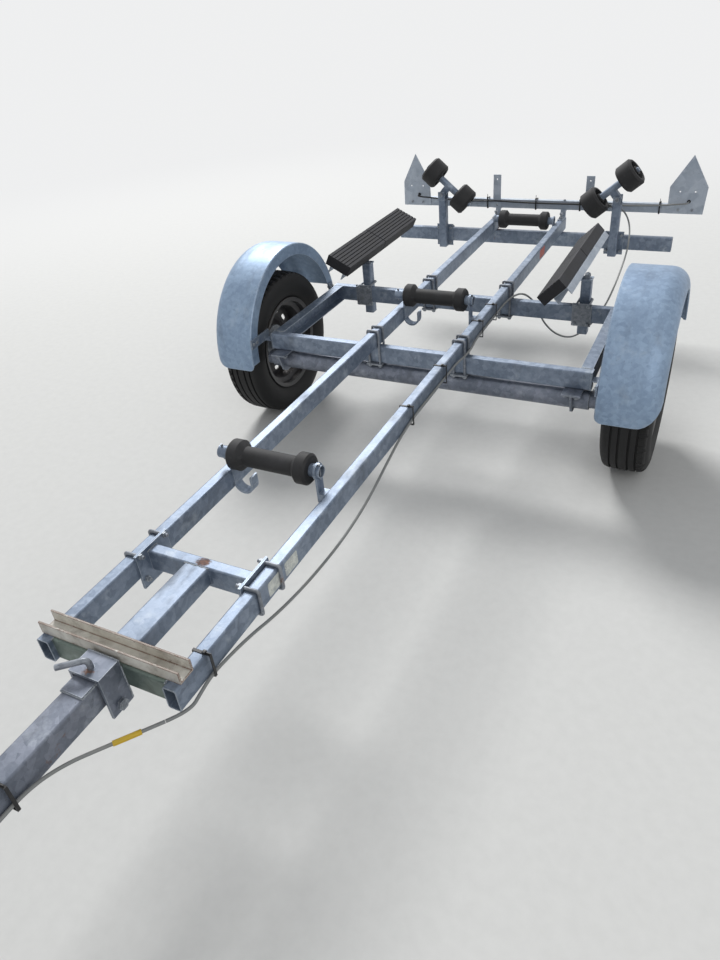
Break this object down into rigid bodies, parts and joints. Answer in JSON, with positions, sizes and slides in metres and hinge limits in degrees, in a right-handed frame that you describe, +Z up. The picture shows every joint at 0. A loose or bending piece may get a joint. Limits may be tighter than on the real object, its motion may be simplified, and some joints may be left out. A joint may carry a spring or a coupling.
{
  "type": "boat trailer",
  "caption": "Tilting boat trailer: twin-rail tube bed with keel rollers, bunks and rocking roller cradles, torsion axle, mudguards, hinged drawbar and jockey wheel",
  "frame": {"origin": "On the ground in the middle of the trailer's length and width, below the rails.", "axes": "+X to the right when looking rearward from the coupling's end, +Y to the rear along the rails, +Z up."},
  "size_m": [1.568, 4.005, 0.858],
  "materials": {
    "galvanised": "weathered hot-dip galvanising with spangle and light rust at the welds",
    "cream_paint": "worn cream paint with rusty edges",
    "plate_metal": "dull plain sheet",
    "black_rubber": "weathered moulded rubber",
    "tyre_rubber": "used road tyre",
    "black_paint": "dull black paint with light rust",
    "cable_sheath": "dusty grey cable sheath",
    "black_plastic": "black moulded plastic",
    "yellow_plastic": "yellow sleeve"
  },
  "bodies": {
    "bed": {"rails": "galvanised", "front_crossmember": "galvanised", "centre_tube": "galvanised", "h_crossmember": "galvanised", "bow_channel": "cream_paint", "axle_beam": "galvanised", "rear_beam": "galvanised", "tail_beam": "galvanised", "u_bolts": "galvanised", "clamp_plates": "galvanised", "axle_tube": "galvanised", "axle_brackets": "galvanised", "guard_brackets": "galvanised", "side_channels": "galvanised", "swing_arms": "galvanised", "hinge_bracket": "galvanised", "hinge_pins": "galvanised", "keel_frames": "galvanised", "light_bar": "galvanised", "lamp_plates": "plate_metal", "mudguard_left": "galvanised", "mudguard_right": "galvanised", "bunk_post_left": "galvanised", "bunk_post_right": "galvanised", "bunk_back_left": "galvanised", "bunk_back_right": "galvanised", "bunk_pad_left": "black_rubber", "bunk_pad_right": "black_rubber", "wobble_post_left": "galvanised", "wobble_post_right": "galvanised", "bed_cable": "cable_sheath", "cable_ties": "black_plastic"},
    "drawbar": {"drawbar": "galvanised", "coupling_head": "galvanised", "jockey_clamp": "galvanised", "jockey_tube": "galvanised", "drawbar_cable": "cable_sheath", "plug": "black_plastic", "cable_sleeve": "yellow_plastic", "drawbar_ties": "black_plastic"},
    "jockey_leg": {"jockey_stem": "galvanised"},
    "jockey_caster": {"jockey_fork": "galvanised"},
    "jockey_roller": {"jockey_wheel": "black_rubber"},
    "wheel_left": {"tyre_left": "tyre_rubber", "rim_left": "black_paint", "hub_left": "black_paint"},
    "wheel_right": {"tyre_right": "tyre_rubber", "rim_right": "black_paint", "hub_right": "black_paint"},
    "keel_front": {"keel_roller_front": "black_rubber"},
    "keel_middle": {"keel_roller_middle": "black_rubber"},
    "keel_rear": {"keel_roller_rear": "black_rubber"},
    "cradle_arm_left": {"cradle_left": "galvanised"},
    "wobble_inner_left": {"wobble_roller_inner_left": "black_rubber"},
    "wobble_outer_left": {"wobble_roller_outer_left": "black_rubber"},
    "cradle_arm_right": {"cradle_right": "galvanised"},
    "wobble_inner_right": {"wobble_roller_inner_right": "black_rubber"},
    "wobble_outer_right": {"wobble_roller_outer_right": "black_rubber"}
  },
  "joints": [
    {"name": "bed_tilt", "type": "hinge", "parent": "bed", "child": "drawbar", "pos_m": [0, -0.9295, 0.389], "axis": [1, 0, 0], "range_deg": [0, 15]},
    {"name": "jockey_raise", "type": "slide", "parent": "drawbar", "child": "jockey_leg", "axis": [0, 0, 1], "range_m": [0, 0.16]},
    {"name": "jockey_swivel", "type": "hinge", "parent": "jockey_leg", "child": "jockey_caster", "pos_m": [-0.062, -1.5325, 0.2], "axis": [0, 0, 1], "continuous": true},
    {"name": "jockey_spin", "type": "hinge", "parent": "jockey_caster", "child": "jockey_roller", "pos_m": [-0.062, -1.4975, 0.1], "axis": [1, 0, 0], "continuous": true},
    {"name": "wheel_spin_left", "type": "hinge", "parent": "bed", "child": "wheel_left", "pos_m": [-0.693, 0.7775, 0.274], "axis": [1, 0, 0], "continuous": true},
    {"name": "wheel_spin_right", "type": "hinge", "parent": "bed", "child": "wheel_right", "pos_m": [0.693, 0.7775, 0.274], "axis": [1, 0, 0], "continuous": true},
    {"name": "keel_spin_front", "type": "hinge", "parent": "bed", "child": "keel_front", "pos_m": [-0.019, -0.2865, 0.504], "axis": [1, 0, 0], "continuous": true},
    {"name": "keel_spin_middle", "type": "hinge", "parent": "bed", "child": "keel_middle", "pos_m": [-0.019, 0.8045, 0.504], "axis": [1, 0, 0], "continuous": true},
    {"name": "keel_spin_rear", "type": "hinge", "parent": "bed", "child": "keel_rear", "pos_m": [0, 1.8675, 0.474], "axis": [1, 0, 0], "continuous": true},
    {"name": "cradle_rock_left", "type": "hinge", "parent": "bed", "child": "cradle_arm_left", "pos_m": [-0.398, 1.8895, 0.574], "axis": [0, -1, 0], "range_deg": [-8, 20]},
    {"name": "wobble_spin_inner_left", "type": "hinge", "parent": "cradle_arm_left", "child": "wobble_inner_left", "pos_m": [-0.30102, 1.8895, 0.55267], "axis": [-0.766, 0, 0.6428], "continuous": true},
    {"name": "wobble_spin_outer_left", "type": "hinge", "parent": "cradle_arm_left", "child": "wobble_outer_left", "pos_m": [-0.43584, 1.8895, 0.6658], "axis": [-0.766, 0, 0.6428], "continuous": true},
    {"name": "cradle_rock_right", "type": "hinge", "parent": "bed", "child": "cradle_arm_right", "pos_m": [0.398, 1.8895, 0.574], "axis": [0, 1, 0], "range_deg": [-8, 20]},
    {"name": "wobble_spin_inner_right", "type": "hinge", "parent": "cradle_arm_right", "child": "wobble_inner_right", "pos_m": [0.30102, 1.8895, 0.55267], "axis": [0.766, 0, 0.6428], "continuous": true},
    {"name": "wobble_spin_outer_right", "type": "hinge", "parent": "cradle_arm_right", "child": "wobble_outer_right", "pos_m": [0.43584, 1.8895, 0.6658], "axis": [0.766, 0, 0.6428], "continuous": true}
  ]
}
